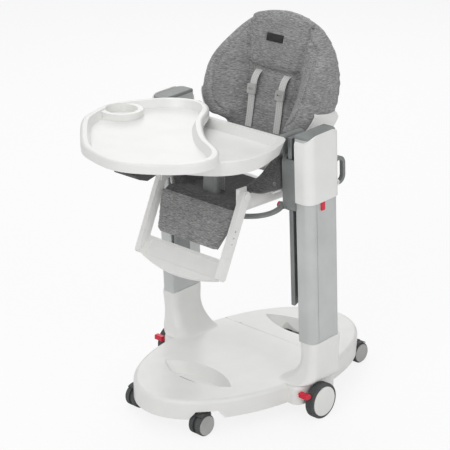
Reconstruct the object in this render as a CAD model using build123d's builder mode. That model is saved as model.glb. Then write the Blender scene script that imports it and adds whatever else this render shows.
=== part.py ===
from build123d import *
from math import cos, radians, sin
import os

# Baby high chair on a wheeled oval base. +Z is up and the chair faces -Y.
# The origin lies on the floor, under the middle of the whole chair.
# "left" is the sitter's left, which is +X. Lengths are in millimetres.

os.makedirs("parts", exist_ok=True)

# ---- driving dimensions -------------------------------------------------
# base platform
base_length = 774
base_width = 458
base_y = 93
base_top = 100
base_bottom = 46
base_wall = 4
base_edge_radius = 11
ear_reach = 262
ear_front_y = 7
ear_rear_y = 167
ear_corner = 24
seam_y = 219
seam_gap = 0.6
rib_thickness = 3
rib_bottom = 66
front_slot_y = -111
front_slot_length = 252
front_slot_width = 100
rear_slot_y = 317
rear_slot_length = 282
rear_slot_width = 90
slot_through_width = 30
slot_depth = 32
hinge_pin_radius = 1.8
hinge_x = 150
hinge_width = 10
hinge_drop = 4.5
hinge_clearance = 0.35
barrel_reach = 204

# wheels and casters
side_wheel_radius = 50
side_wheel_y = 74
side_tyre_width = 27
side_wheel_inner_x = 270
side_hub_radius = 41.5
axle_radius = 5
caster_radius = 30
caster_wheel_width = 15
caster_gap = 9
caster_trail = 17
caster_stem_radius = 6
caster_x = 122
front_caster_y = -203
rear_caster_y = 401
pocket_radius = 52
pocket_neck = 35
pocket_top = 68
running_clearance = 0.05

# columns, their feet and inner rails
column_lean = 3.0
column_y = 79
foot_top = 224
column_length = 573
column_inner_x = 236
column_outer_x = 287
column_front = -46
column_rear = 70
column_corner = 22
column_wall = 3
rail_inner_x = 212
rail_outer_x = 226
rail_front = -45
rail_rear = 6
rail_web_front = -16
rail_start = 98
cap_height = 9

# carriage that climbs the columns
slide_clearance = 0.5
shell_wall = 4
shell_start = 376
shell_height = 208
shell_split_x = 240
plate_inner_x = 197
plate_thickness = 11
plate_start = 364
plate_height = 158
swing_pin_radius = 8
swing_y = 59
swing_z = 700
release_y = 14
release_z = 600
bar_width = 11
bar_drop = 80
bar_depth = 10

# seat
pan_bottom = 580
pan_wall = 5
pan_half_width = 141
pan_corner = 38
pan_side_top = 660
pan_front_y = -69
pan_ear_front_y = -104
pan_rear_y = 174
flange_z = 640
flange_reach = 190.3
flange_front_y = -21
flange_rear_y = 148
frame_thickness = 5.7
armrest_bottom = 745
armrest_top = 789.5
armrest_inner_x = 174
armrest_front_y = 7
armrest_rear_y = 91
soft_clearance = 0.3

# backrest
recline_y = 154
recline_z = 632
recline_pin_radius = 6
back_lean = 11
back_half_width = 210
back_height = 425
back_low_half_width = 130
back_wing_start = 112
back_wing_height = 86
back_panel_front = 18
back_cushion_rear = -10
back_shell_rear = -26
back_shell_wall = 2.6
wing_thickness = 34
barrel_radius = 15
lever_out = 40
strap_x = 51
strap_width = 22

# legrest and footboard
leg_pivot_y = -86
leg_pivot_z = 640
leg_lean = 24
leg_arm_inner_x = 141.5
leg_arm_thickness = 15
leg_arm_width = 28
leg_arm_length = 166
leg_pin_radius = 5
sleeve_length = 62
tongue_length = 58
sleeve_wall = 2.6
tread_thickness = 11
calf_plate_rear = -19
calf_plate_thickness = 7
calf_pad_thickness = 15
tread_length = 66
tread_turn = 19
tread_below_arm = 45
tread_set_back = 12.9
recess_below_arm = 0.5

# trays
tray_bottom = 752
tray_rim = 790
tray_floor = 768
tray_wall = 4
tray_rear_y = 2
tray_front_y = -353
tray_half_width = 262
tray_arm_x = 179
tray_arm_width = 10
tray_arm_height = 15
tray_arm_z = 765
post_y = -53
post_bottom = 606
post_top_width = 40
post_bottom_width = 55
post_depth = 22
upper_tray_turn = -42
upper_tray_x = -22
upper_tray_y = -232
upper_tray_height = 25
upper_tray_floor = 4
upper_rim_width = 24
cup_x = -200
cup_y = -84
cup_radius = 43
cup_ring_radius = 57
grip_y = -318
grip_bottom = 716

# ---- planes -------------------------------------------------------------
column_origin = (0, column_y, foot_top)
column_up = (0, -sin(radians(column_lean)), cos(radians(column_lean)))
column_back = (0, cos(radians(column_lean)), sin(radians(column_lean)))
column_plane = Plane(column_origin, x_dir=(1, 0, 0), z_dir=column_up)
column_side = Plane(column_origin, x_dir=column_back, z_dir=(1, 0, 0))


def leaning_plane(y, z, lean):
    """A plane through (0, y, z) whose normal points forward and whose local Y leans back."""
    return Plane((0, y, z), x_dir=(1, 0, 0), z_dir=(0, -cos(radians(lean)), sin(radians(lean))))


def leaning_side(y, z, lean):
    """The side view of a leaning plane: local X runs backward, local Y runs up along it."""
    return Plane((0, y, z), x_dir=(0, cos(radians(lean)), -sin(radians(lean))), z_dir=(1, 0, 0))


back_plane = leaning_plane(recline_y, recline_z, back_lean)
back_side = leaning_side(recline_y, recline_z, back_lean)
leg_plane = leaning_plane(leg_pivot_y, leg_pivot_z, leg_lean)
leg_side = leaning_side(leg_pivot_y, leg_pivot_z, leg_lean)
tread_down = leg_arm_length + tread_below_arm
tread_y = leg_pivot_y - tread_down * sin(radians(leg_lean)) + tread_set_back * cos(radians(leg_lean))
tread_z = leg_pivot_z - tread_down * cos(radians(leg_lean)) - tread_set_back * sin(radians(leg_lean))
tread_plane = leaning_plane(tread_y, tread_z, leg_lean + tread_turn)


# ---- shared helpers -----------------------------------------------------
def save(piece, name):
    """Label a finished piece and write it to its own file."""
    piece.part.label = name
    export_step(piece.part, f"parts/{name}.step")


def save_pair(piece, name):
    """Write a piece of the left side, and its mirror image for the right side."""
    save(piece, f"{name}_left")
    with BuildPart() as twin:
        mirror(piece.part, about=Plane.YZ)
    save(twin, f"{name}_right")


def block(x0, x1, y0, y1, z0, z1, mode=Mode.ADD):
    """A box between two corners."""
    with Locations(((x0 + x1) / 2, (y0 + y1) / 2, (z0 + z1) / 2)):
        return Box(x1 - x0, y1 - y0, z1 - z0, mode=mode)


def bar_along_x(x0, x1, y, z, radius, mode=Mode.ADD):
    """A round bar along X, from x0 to x1."""
    with Locations(Location(((x0 + x1) / 2, y, z), (0, 90, 0))):
        return Cylinder(radius, x1 - x0, mode=mode)


def column_section(grow):
    """The D section of a column: square on the inner side, well rounded on the outer side."""
    depth = column_rear - column_front + 2 * grow
    width = column_outer_x - column_inner_x + 2 * grow
    middle = ((column_outer_x + column_inner_x) / 2, (column_rear + column_front) / 2)
    with Locations(middle):
        section = RectangleRounded(width, depth, 5 + grow, mode=Mode.PRIVATE)
        outer = RectangleRounded(width, depth, column_corner + grow, mode=Mode.PRIVATE)
    half = Rectangle(width, depth * 2, align=(Align.MIN, Align.CENTER), mode=Mode.PRIVATE)
    cut_x = (column_outer_x + column_inner_x) / 2
    inner_half = Pos(cut_x - width, 0) * half & section
    outer_half = Pos(cut_x, 0) * half & outer
    return add(inner_half + outer_half)


# ---- base platform and rear lobe ----------------------------------------
def platform_outline(inset):
    """The oval with an ear on each side that carries a column foot and a side wheel."""
    with Locations((0, base_y)):
        Ellipse(base_width / 2 - inset, base_length / 2 - inset)
    with Locations((0, (ear_front_y + ear_rear_y) / 2)):
        ear_depth = ear_rear_y - ear_front_y - 2 * inset
        RectangleRounded(2 * (ear_reach - inset), ear_depth, ear_corner - inset)


def lens(y, length, width, grow=0):
    """A hand slot's outline: two arcs that meet at a point on each side, with rounded ends."""
    half = length / 2 + grow
    rise = width / 2 + grow
    with BuildLine() as edge_line:
        ThreePointArc((-half, y), (0, y + rise), (half, y))
        ThreePointArc((half, y), (0, y - rise), (-half, y))
    make_face(edge_line.edges())


hand_slots = [
    (front_slot_y, front_slot_length, front_slot_width, -1),
    (rear_slot_y, rear_slot_length, rear_slot_width, 1),
]
caster_spots = [
    ("front_left", caster_x, front_caster_y, -1),
    ("front_right", -caster_x, front_caster_y, -1),
    ("rear_left", caster_x, rear_caster_y, 1),
    ("rear_right", -caster_x, rear_caster_y, 1),
]
rib_positions = [-230, -30, 40, 134, 262, 372]

with BuildPart() as cavity:
    with BuildSketch(Plane.XY.offset(base_bottom)):
        platform_outline(base_wall)
    extrude(amount=base_top - base_bottom - base_wall)
    for rib_y in rib_positions:
        block(-300, 300, rib_y - rib_thickness / 2, rib_y + rib_thickness / 2, rib_bottom, base_top,
              mode=Mode.SUBTRACT)
    seam_wall = base_wall + seam_gap / 2
    block(-300, 300, seam_y - seam_wall, seam_y + seam_wall, base_bottom, base_top, mode=Mode.SUBTRACT)
    for slot_y, slot_length, slot_width, _ in hand_slots:
        with BuildSketch(Plane.XY.offset(base_top - slot_depth - base_wall)):
            lens(slot_y, slot_length, slot_width, base_wall)
        extrude(amount=slot_depth + base_wall, mode=Mode.SUBTRACT)
    for _, x, y, _ in caster_spots:
        with Locations((x, y, base_top)):
            Cylinder(16, 2 * (base_top - pocket_top), mode=Mode.SUBTRACT)
    for side in (-1, 1):
        x_outer = side * (ear_reach - base_wall)
        x_inner = side * 220
        bar_along_x(min(x_inner, x_outer), max(x_inner, x_outer), side_wheel_y, side_wheel_radius,
                    axle_radius + 6, mode=Mode.SUBTRACT)

with BuildPart() as moulding:
    with BuildSketch(Plane.XY.offset(base_bottom)):
        platform_outline(0)
    extrude(amount=base_top - base_bottom)
    fillet(moulding.edges().group_by(Axis.Z)[-1], base_edge_radius)
    add(cavity.part, mode=Mode.SUBTRACT)
    # scooped hand slots: a wall slopes down from one long edge to a slot along the other
    for slot_y, slot_length, slot_width, outward in hand_slots:
        with BuildSketch(Plane.XY.offset(base_top)):
            lens(slot_y, slot_length, slot_width)
        extrude(amount=-slot_depth, taper=25, mode=Mode.SUBTRACT)
        with BuildSketch(Plane.XY.offset(base_top)):
            with Locations((0, slot_y + outward * slot_width * 0.12)):
                SlotOverall(slot_length * 0.62, slot_through_width)
        extrude(amount=-(base_top - base_bottom), mode=Mode.SUBTRACT)
    for _, x, y, _ in caster_spots:
        with Locations((x, y, base_bottom - 1)):
            Cone(pocket_radius, pocket_neck, pocket_top - base_bottom + 1,
                 align=(Align.CENTER, Align.CENTER, Align.MIN), mode=Mode.SUBTRACT)
        with Locations((x, y, pocket_top)):
            Cylinder(caster_stem_radius + running_clearance, 36, mode=Mode.SUBTRACT)
    bar_along_x(-ear_reach - 1, -200, side_wheel_y, side_wheel_radius, axle_radius, mode=Mode.SUBTRACT)
    bar_along_x(200, ear_reach + 1, side_wheel_y, side_wheel_radius, axle_radius, mode=Mode.SUBTRACT)

# the lobe folds up about pins just under the deck: its barrel turns in a cove of the platform
hinge_z = base_top - hinge_drop
cove_radius = hinge_drop + hinge_clearance
knuckle_half = hinge_width / 2 - 0.3
pin_half = 18
with BuildPart() as base_platform:
    add(moulding.part)
    split(bisect_by=Plane((0, seam_y - seam_gap / 2, 0), z_dir=(0, 1, 0)), keep=Keep.BOTTOM)
    bar_along_x(-300, 300, seam_y, hinge_z, cove_radius, mode=Mode.SUBTRACT)
    block(-300, 300, seam_y - cove_radius, seam_y + 5, hinge_z, base_top + 5, mode=Mode.SUBTRACT)
    for knuckle_x in (-hinge_x, hinge_x):
        ends = (knuckle_x - knuckle_half, knuckle_x + knuckle_half)
        bar_along_x(*ends, seam_y, hinge_z, hinge_drop - 0.5)
        block(*ends, seam_y - 20, seam_y, hinge_z - hinge_drop + 0.5, hinge_z)
        bar_along_x(ends[0] - 1, ends[1] + 1, seam_y, hinge_z, hinge_pin_radius, mode=Mode.SUBTRACT)
save(base_platform, "base_platform")

with BuildPart() as rear_platform:
    add(moulding.part)
    split(bisect_by=Plane((0, seam_y + seam_gap / 2, 0), z_dir=(0, 1, 0)), keep=Keep.TOP)
    bar_along_x(-barrel_reach, barrel_reach, seam_y, hinge_z, hinge_drop)
    for knuckle_x in (-hinge_x, hinge_x):
        bar_along_x(knuckle_x - hinge_width / 2, knuckle_x + hinge_width / 2, seam_y, hinge_z,
                    cove_radius, mode=Mode.SUBTRACT)
        bar_along_x(knuckle_x - pin_half, knuckle_x + pin_half, seam_y, hinge_z,
                    hinge_pin_radius + running_clearance, mode=Mode.SUBTRACT)
save(rear_platform, "rear_platform")

with BuildPart() as fold_pins:
    for side in (-1, 1):
        bar_along_x(side * hinge_x - pin_half + 1, side * hinge_x + pin_half - 1, seam_y, hinge_z,
                    hinge_pin_radius)
save(fold_pins, "fold_pins")

# ---- side wheels with their axles and brakes ----------------------------
wheel_mid_x = side_wheel_inner_x + side_tyre_width / 2
with BuildPart() as side_tyre:
    with BuildSketch(Plane.XZ.offset(-side_wheel_y)) as tyre_section:
        with Locations((wheel_mid_x, side_wheel_radius * 2 - 5)):
            RectangleRounded(side_tyre_width, 10, 4.9)
        with Locations((wheel_mid_x, side_wheel_radius * 2 - 9)):
            Rectangle(side_tyre_width - 2, 4)
    wheel_axis = Axis((0, side_wheel_y, side_wheel_radius), (1, 0, 0))
    revolve(axis=wheel_axis)
save_pair(side_tyre, "side_tyre")

hub_rim = side_wheel_radius - 11
with BuildPart() as side_hub:
    bar_along_x(side_wheel_inner_x + 2, side_wheel_inner_x + side_tyre_width - 1, side_wheel_y,
                side_wheel_radius, hub_rim)
    bar_along_x(side_wheel_inner_x + side_tyre_width - 1, side_wheel_inner_x + side_tyre_width + 1.5,
                side_wheel_y, side_wheel_radius, side_hub_radius)
    fillet(side_hub.edges().group_by(Axis.X)[-1], 1.4)
    bar_along_x(side_wheel_inner_x, side_wheel_inner_x + 12, side_wheel_y, side_wheel_radius,
                hub_rim - 4, mode=Mode.SUBTRACT)
    bar_along_x(side_wheel_inner_x - 5, side_wheel_inner_x + 14, side_wheel_y, side_wheel_radius, 11)
    bar_along_x(side_wheel_inner_x - 8, side_wheel_inner_x + 22, side_wheel_y, side_wheel_radius,
                axle_radius + running_clearance, mode=Mode.SUBTRACT)
save_pair(side_hub, "side_hub")

with BuildPart() as wheel_axles:
    for side in (-1, 1):
        ends = sorted((side * 222, side * (side_wheel_inner_x + 21)))
        bar_along_x(ends[0], ends[1], side_wheel_y, side_wheel_radius, axle_radius)
save(wheel_axles, "wheel_axles")

brake_y = 13
brake_z = 80
with BuildPart() as brake_pedal:
    with BuildSketch(Plane.YZ.offset(ear_reach + 0.4)):
        with BuildLine():
            Polyline((brake_y - 6, brake_z - 7), (brake_y + 12, brake_z - 9), (brake_y + 15, brake_z),
                     (brake_y + 8, brake_z + 7), (brake_y - 6, brake_z + 7), close=True)
        make_face()
    extrude(amount=27)
    fillet(brake_pedal.edges().filter_by(Axis.X), 2.5)
    bar_along_x(ear_reach - 3.5, ear_reach + 2, brake_y, brake_z, 3)
save_pair(brake_pedal, "brake_pedal")

# ---- casters ------------------------------------------------------------
def caster_housing(x, y, outward):
    """A hood over the twin wheels with the stem that turns in the base."""
    axle_y = y + outward * caster_trail
    with BuildPart() as housing:
        with BuildSketch(Plane.YZ.offset(x - caster_gap / 2 + 0.4)):
            with Locations((axle_y, caster_radius)):
                Circle(caster_radius - 4)
            with Locations(((axle_y + y) / 2, caster_radius + 18)):
                RectangleRounded(46, 36, 9)
        extrude(amount=caster_gap - 0.8)
        with BuildSketch(Plane.YZ.offset(x - caster_gap / 2 - caster_wheel_width + 1)):
            with BuildLine():
                arc_radius = caster_radius + 4
                CenterArc((axle_y, caster_radius), arc_radius, 55, 70)
                CenterArc((axle_y, caster_radius), arc_radius - 3, 55, 70)
                Line((axle_y + arc_radius * cos(radians(55)), caster_radius + arc_radius * sin(radians(55))),
                     (axle_y + (arc_radius - 3) * cos(radians(55)),
                      caster_radius + (arc_radius - 3) * sin(radians(55))))
                Line((axle_y - arc_radius * cos(radians(55)), caster_radius + arc_radius * sin(radians(55))),
                     (axle_y - (arc_radius - 3) * cos(radians(55)),
                      caster_radius + (arc_radius - 3) * sin(radians(55))))
            make_face()
        extrude(amount=2 * (caster_wheel_width - 1) + caster_gap)
        with Locations((x, y, (caster_radius + 30 + pocket_top + 16) / 2)):
            Cylinder(caster_stem_radius, pocket_top + 16 - caster_radius - 30)
        with Locations((x, y, pocket_top - 3)):
            Cylinder(11, 5.4)
        bar_along_x(x - 10, x + 10, axle_y, caster_radius, 4 + running_clearance, mode=Mode.SUBTRACT)
    return housing


def caster_wheels(x, y, outward):
    """Two tyred wheels on one axle, with shallow hub discs on the outer faces."""
    axle_y = y + outward * caster_trail
    with BuildPart() as wheels:
        for side in (-1, 1):
            near = x + side * caster_gap / 2
            far = x + side * (caster_gap / 2 + caster_wheel_width)
            bar_along_x(min(near, far), max(near, far), axle_y, caster_radius, caster_radius)
            edge = wheels.edges().filter_by(GeomType.CIRCLE).group_by(Axis.X)[0 if side < 0 else -1]
            fillet(edge, 3)
            cap = x + side * (caster_gap / 2 + caster_wheel_width + 1.5)
            bar_along_x(min(far, cap), max(far, cap), axle_y, caster_radius, caster_radius - 4)
        bar_along_x(x - caster_gap / 2, x + caster_gap / 2, axle_y, caster_radius, 4)
    return wheels


for spot, x, y, outward in caster_spots:
    save(caster_housing(x, y, outward), f"caster_housing_{spot}")
    save(caster_wheels(x, y, outward), f"caster_wheels_{spot}")

# ---- feet, columns, rails and caps --------------------------------------
foot_steps = [
    (base_top, 172, ear_reach, 8, 166, 28),
    (base_top + 12, 197, 284, 25, 162, 25),
    (base_top + 38, 221, 288, 33, 157, 24),
    (base_top + 75, 234, 288.5, 35, 153.5, 22.5),
    (foot_top + 14, 235.5, 287.5, 32.3, 149.5, 22),
]
with BuildPart() as column_foot:
    for z, inner, outer, front, rear, corner in foot_steps:
        with BuildSketch(Plane.XY.offset(z)):
            with Locations(((inner + outer) / 2, (front + rear) / 2)):
                RectangleRounded(outer - inner, rear - front, corner)
    loft()
    split(bisect_by=column_plane, keep=Keep.BOTTOM)
save_pair(column_foot, "column_foot")

with BuildPart() as column:
    with BuildSketch(column_plane):
        column_section(0)
    extrude(amount=column_length)
    with BuildSketch(column_plane.offset(column_wall)):
        column_section(-column_wall)
    extrude(amount=column_length, mode=Mode.SUBTRACT)
    # the seam between the round nose and the flat outer face
    with BuildSketch(column_plane):
        with Locations((column_outer_x, column_front + column_corner + 4)):
            Rectangle(2, 1.6)
    extrude(amount=column_length, mode=Mode.SUBTRACT)
save_pair(column, "column")

with BuildPart() as column_rail:
    with BuildSketch(column_plane.offset(rail_start)):
        with Locations(((rail_inner_x + rail_outer_x) / 2, (rail_front + rail_rear) / 2)):
            RectangleRounded(rail_outer_x - rail_inner_x, rail_rear - rail_front, 3)
        web_width = column_inner_x - rail_outer_x + 3
        with Locations((column_inner_x, (rail_web_front + rail_rear) / 2)):
            Rectangle(web_width, rail_rear - rail_web_front, align=(Align.MAX, Align.CENTER))
    extrude(amount=column_length - rail_start - 4)
    # the lower end is cut on a slant
    with BuildSketch(column_side.offset(rail_inner_x - 10)):
        with BuildLine():
            Polyline((rail_front - 5, rail_start - 5), (rail_rear + 5, rail_start - 5),
                     (rail_rear + 5, rail_start + 26), (rail_front - 5, rail_start), close=True)
        make_face()
    extrude(amount=60, mode=Mode.SUBTRACT)
save_pair(column_rail, "column_rail")

with BuildPart() as column_cap:
    with BuildSketch(column_plane.offset(column_length)):
        column_section(0)
    extrude(amount=cap_height)
    fillet(column_cap.faces().sort_by(Axis.Z)[-1].edges(), 4)
save_pair(column_cap, "column_cap")

# ---- carriage -----------------------------------------------------------
shell_outer = slide_clearance + shell_wall
lock_x = column_outer_x + slide_clearance
lock_v = 2
with BuildPart() as carriage_shell:
    with BuildSketch(column_plane.offset(shell_start)):
        column_section(shell_outer)
    extrude(amount=shell_height)
    with BuildSketch(column_plane.offset(shell_start)):
        column_section(slide_clearance)
    extrude(amount=shell_height, mode=Mode.SUBTRACT)
    # open along the inner side, where the carriage plate closes the tube
    with BuildSketch(column_plane.offset(shell_start)):
        with Locations((shell_split_x, 0)):
            Rectangle(100, 300, align=(Align.MAX, Align.CENTER))
    extrude(amount=shell_height, mode=Mode.SUBTRACT)
    # the side view has a domed top and softly rounded lower corners
    with BuildSketch(column_side):
        with Locations(((column_front + column_rear) / 2, shell_start + shell_height / 2)):
            Rectangle(column_rear - column_front + 2 * shell_outer + 2, shell_height)
            corners = vertices()
        fillet(corners.sort_by(Axis.Y)[-2:], 36)
    extrude(amount=400, mode=Mode.INTERSECT)
    # notch for the red lock tab
    with BuildSketch(column_side.offset(column_outer_x - 2)):
        with Locations((lock_v, shell_start)):
            Rectangle(15, 44)
    extrude(amount=20, mode=Mode.SUBTRACT)
    # two ears at the rear carry the height lever
    lever_v = column_rear + shell_outer + 10
    lever_h = shell_start + 44
    for ear_x in (246, 263.5):
        with BuildSketch(column_side.offset(ear_x)):
            with Locations((lever_v, lever_h)):
                Circle(9)
            with Locations((lever_v - 6, lever_h)):
                Rectangle(12, 18)
        extrude(amount=4)
    with BuildSketch(column_side.offset(240)):
        with Locations((lever_v, lever_h)):
            Circle(4 + running_clearance)
    extrude(amount=40, mode=Mode.SUBTRACT)
save_pair(carriage_shell, "carriage_shell")

with BuildPart() as carriage_plate:
    plate_front = column_front - shell_outer
    plate_rear = column_rear + shell_outer
    with BuildSketch(column_plane.offset(plate_start)):
        with Locations((plate_inner_x, (plate_front + plate_rear) / 2)):
            Rectangle(shell_split_x - plate_inner_x, plate_rear - plate_front, align=(Align.MIN, Align.CENTER))
        with Locations((plate_inner_x + plate_thickness, (plate_front + plate_rear) / 2)):
            Rectangle(60, plate_rear - plate_front - 2 * shell_wall, align=(Align.MIN, Align.CENTER),
                      mode=Mode.SUBTRACT)
    extrude(amount=plate_height)
    with BuildSketch(column_side):
        with Locations(((plate_front + plate_rear) / 2, plate_start + plate_height / 2)):
            RectangleRounded(plate_rear - plate_front, plate_height, 22)
    extrude(amount=400, mode=Mode.INTERSECT)
    bar_along_x(plate_inner_x - 1, plate_inner_x + plate_thickness + 1, swing_y, swing_z,
                swing_pin_radius + running_clearance, mode=Mode.SUBTRACT)
    bar_along_x(plate_inner_x - 1, plate_inner_x + plate_thickness + 1, release_y, release_z,
                5 + running_clearance, mode=Mode.SUBTRACT)
save_pair(carriage_plate, "carriage_plate")

with BuildPart() as height_lever:
    ring_front = column_rear + shell_outer + 1.2
    with BuildSketch(column_side.offset(250.4)):
        with Locations((ring_front + 24, lever_h + 29)):
            SlotCenterToCenter(30, 48, rotation=90)
        with Locations((ring_front + 24, lever_h + 29)):
            SlotCenterToCenter(30, 28, rotation=90, mode=Mode.SUBTRACT)
        with Locations((lever_v, lever_h)):
            Circle(8)
    extrude(amount=12.7)
    fillet(height_lever.edges().filter_by(Axis.X, reverse=True).filter_by(GeomType.LINE), 1.5)
    with BuildSketch(column_side.offset(246)):
        with Locations((lever_v, lever_h)):
            Circle(4)
    extrude(amount=21.5)
save_pair(height_lever, "height_lever")

with BuildPart() as height_lock:
    with BuildSketch(column_side.offset(lock_x + 0.2)):
        with Locations((lock_v, shell_start + 6)):
            RectangleRounded(14.2, 31, 3)
    extrude(amount=shell_wall - 0.2)
    fillet(height_lock.faces().sort_by(Axis.X)[-1].edges(), 1)
save_pair(height_lock, "height_lock")

# a U-shaped bar hangs under the seat between the carriage plates
bar_tilt = 40
bar_reach = plate_inner_x - 0.6
bar_plane = Plane((0, release_y, release_z), x_dir=(1, 0, 0),
                  z_dir=(0, -sin(radians(bar_tilt)), cos(radians(bar_tilt))))
with BuildPart() as release_bar:
    with BuildSketch(bar_plane.offset(-bar_depth / 2)):
        Ellipse(bar_reach, bar_drop)
        Ellipse(bar_reach - bar_width, bar_drop - bar_width, mode=Mode.SUBTRACT)
        Rectangle(2 * bar_reach + 10, bar_drop + 10, align=(Align.CENTER, Align.MIN), mode=Mode.SUBTRACT)
    extrude(amount=bar_depth)
    with BuildSketch(bar_plane.offset(-bar_depth / 2)):
        Ellipse(bar_reach - 3, bar_drop - 3)
        Ellipse(bar_reach - bar_width + 3, bar_drop - bar_width + 3, mode=Mode.SUBTRACT)
        Rectangle(2 * bar_reach + 10, bar_drop + 22, align=(Align.CENTER, Align.MIN), mode=Mode.SUBTRACT)
    extrude(amount=bar_depth - 3, mode=Mode.SUBTRACT)
    for side in (-1, 1):
        for reach, radius in ((bar_reach + 0.3, 9), (bar_reach + 10, 5)):
            ends = sorted((side * (bar_reach - bar_width - 1.2), side * reach))
            bar_along_x(ends[0], ends[1], release_y, release_z, radius)
save(release_bar, "release_bar")

with BuildPart() as bar_triggers:
    for side in (-1, 1):
        ends = sorted((side * (bar_reach - bar_width - 7), side * (bar_reach - bar_width - 1.2)))
        bar_along_x(ends[0], ends[1], release_y, release_z, 8)
save(bar_triggers, "bar_triggers")

# ---- seat ---------------------------------------------------------------
def pan_section(inset):
    """The U of the seat pan, seen from the front."""
    width = 2 * (pan_half_width - inset)
    with Locations((0, pan_bottom + inset)):
        Rectangle(width, pan_side_top - pan_bottom + inset, align=(Align.CENTER, Align.MIN))


with BuildPart() as seat_shell:
    with BuildSketch(Plane.XZ.offset(-pan_rear_y)) as pan_outer:
        pan_section(0)
        fillet(pan_outer.vertices().sort_by(Axis.Y)[:2], pan_corner)
        with Locations((0, pan_side_top)):
            Rectangle(600, 60, align=(Align.CENTER, Align.MIN), mode=Mode.SUBTRACT)
    extrude(amount=pan_rear_y - pan_ear_front_y)
    with BuildSketch(Plane.XZ.offset(-pan_rear_y)) as pan_inner:
        pan_section(pan_wall)
        fillet(pan_inner.vertices().sort_by(Axis.Y)[:2], pan_corner - pan_wall)
    extrude(amount=pan_rear_y - pan_ear_front_y, mode=Mode.SUBTRACT)
    block(-200, 200, pan_ear_front_y - 1, pan_front_y, pan_bottom - 1, leg_pivot_z - 20, mode=Mode.SUBTRACT)
    for side in (-1, 1):
        x_in = side * (pan_half_width - pan_wall)
        x_out = side * flange_reach
        block(min(x_in, x_out), max(x_in, x_out), flange_front_y, flange_rear_y, flange_z, flange_z + pan_wall)
    block(-200, 200, pan_front_y, pan_rear_y + 1, flange_z + pan_wall, pan_side_top + 20, mode=Mode.SUBTRACT)
    # slots in the floor for the crotch strap and the drain
    for slot_y in (-20, 40, 110):
        block(-30, 30, slot_y - 4, slot_y + 4, pan_bottom - 1, pan_bottom + pan_wall + 1, mode=Mode.SUBTRACT)
    bar_along_x(-pan_half_width - 1, pan_half_width + 1, leg_pivot_y, leg_pivot_z,
                leg_pin_radius + running_clearance, mode=Mode.SUBTRACT)
    bar_along_x(-pan_half_width - 1, pan_half_width + 1, recline_y, recline_z, recline_pin_radius,
                mode=Mode.SUBTRACT)
save(seat_shell, "seat_shell")

bolster_top = armrest_bottom - 10
with BuildPart() as seat_cushion:
    floor_z = pan_bottom + pan_wall + soft_clearance
    wall_x = pan_half_width - pan_wall - soft_clearance
    over_z = flange_z + pan_wall + soft_clearance
    side_x = flange_reach - soft_clearance
    with BuildSketch(Plane.XZ.offset(-(recline_y - 24))):
        with BuildLine():
            Polyline((-wall_x + 32, floor_z), (wall_x - 32, floor_z), (wall_x, floor_z + 32), (wall_x, over_z),
                     (side_x, over_z), (side_x, bolster_top - 14), (side_x - 12, bolster_top),
                     (side_x - 26, bolster_top), (112, 634), (92, post_bottom - 5), (-92, post_bottom - 5),
                     (-112, 634), (-side_x + 26, bolster_top), (-side_x + 12, bolster_top),
                     (-side_x, bolster_top - 14), (-side_x, over_z), (-wall_x, over_z),
                     (-wall_x, floor_z + 32), close=True)
        make_face()
    extrude(amount=recline_y - 24 - pan_front_y)
    # the bolsters fall away towards the front
    with BuildSketch(Plane.YZ.offset(-300)):
        with BuildLine():
            Polyline((pan_front_y - 5, leg_pivot_z + 12), (flange_front_y, leg_pivot_z + 40),
                     (flange_front_y + 30, bolster_top + 5), (pan_front_y - 5, bolster_top + 5), close=True)
        make_face()
    extrude(amount=600, mode=Mode.SUBTRACT)
save(seat_cushion, "seat_cushion")

frame_outer_x = flange_reach + frame_thickness
with BuildPart() as seat_frame:
    with BuildSketch(Plane.YZ.offset(flange_reach)):
        with BuildLine():
            Polyline((armrest_front_y + 6, armrest_bottom + 4), (armrest_rear_y, armrest_bottom + 4),
                     (armrest_rear_y + 38, flange_z + 34), (armrest_rear_y + 38, flange_z - 24),
                     (armrest_front_y + 14, flange_z - 24), (armrest_front_y + 6, flange_z), close=True)
        make_face()
        fillet(vertices().sort_by(Axis.Y)[-2:], 12)
    extrude(amount=frame_thickness)
    block(armrest_inner_x, frame_outer_x, armrest_front_y, armrest_rear_y, armrest_bottom, armrest_top)
    fillet(seat_frame.edges().filter_by(Axis.Y).group_by(Axis.Z)[-1], 8)
    block(tray_arm_x - 0.4, tray_arm_x + tray_arm_width + 0.4, armrest_front_y - 1, armrest_rear_y + 1,
          tray_arm_z - 0.4, tray_arm_z + tray_arm_height + 0.4, mode=Mode.SUBTRACT)
    bar_along_x(flange_reach - 1, frame_outer_x + 1, swing_y, swing_z, swing_pin_radius, mode=Mode.SUBTRACT)
save_pair(seat_frame, "seat_frame")

with BuildPart() as pivot_pins:
    for side in (-1, 1):
        swing_ends = sorted((side * (flange_reach + 0.2), side * (plate_inner_x + plate_thickness + 1)))
        bar_along_x(swing_ends[0], swing_ends[1], swing_y, swing_z, swing_pin_radius)
        recline_ends = sorted((side * (pan_half_width - 24), side * pan_half_width))
        bar_along_x(recline_ends[0], recline_ends[1], recline_y, recline_z, recline_pin_radius)
save(pivot_pins, "pivot_pins")

with BuildPart() as crotch_strap:
    block(-12, 12, -17, -15, post_bottom - 5 + soft_clearance, 652)
save(crotch_strap, "crotch_strap")

with BuildPart() as harness_buckle:
    with BuildSketch(Plane.XZ.offset(12)):
        with Locations((0, 668)):
            RectangleRounded(40, 32, 8)
    extrude(amount=10)
    fillet(harness_buckle.faces().sort_by(Axis.Y)[0].edges(), 2.5)
save(harness_buckle, "harness_buckle")

with BuildPart() as snap_buttons:
    for side in (-1, 1):
        ends = sorted((side * (flange_reach - soft_clearance + 0.3), side * (flange_reach + 2.4)))
        bar_along_x(ends[0], ends[1], flange_front_y + 2, 666, 5.5)
save(snap_buttons, "snap_buttons")

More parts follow.
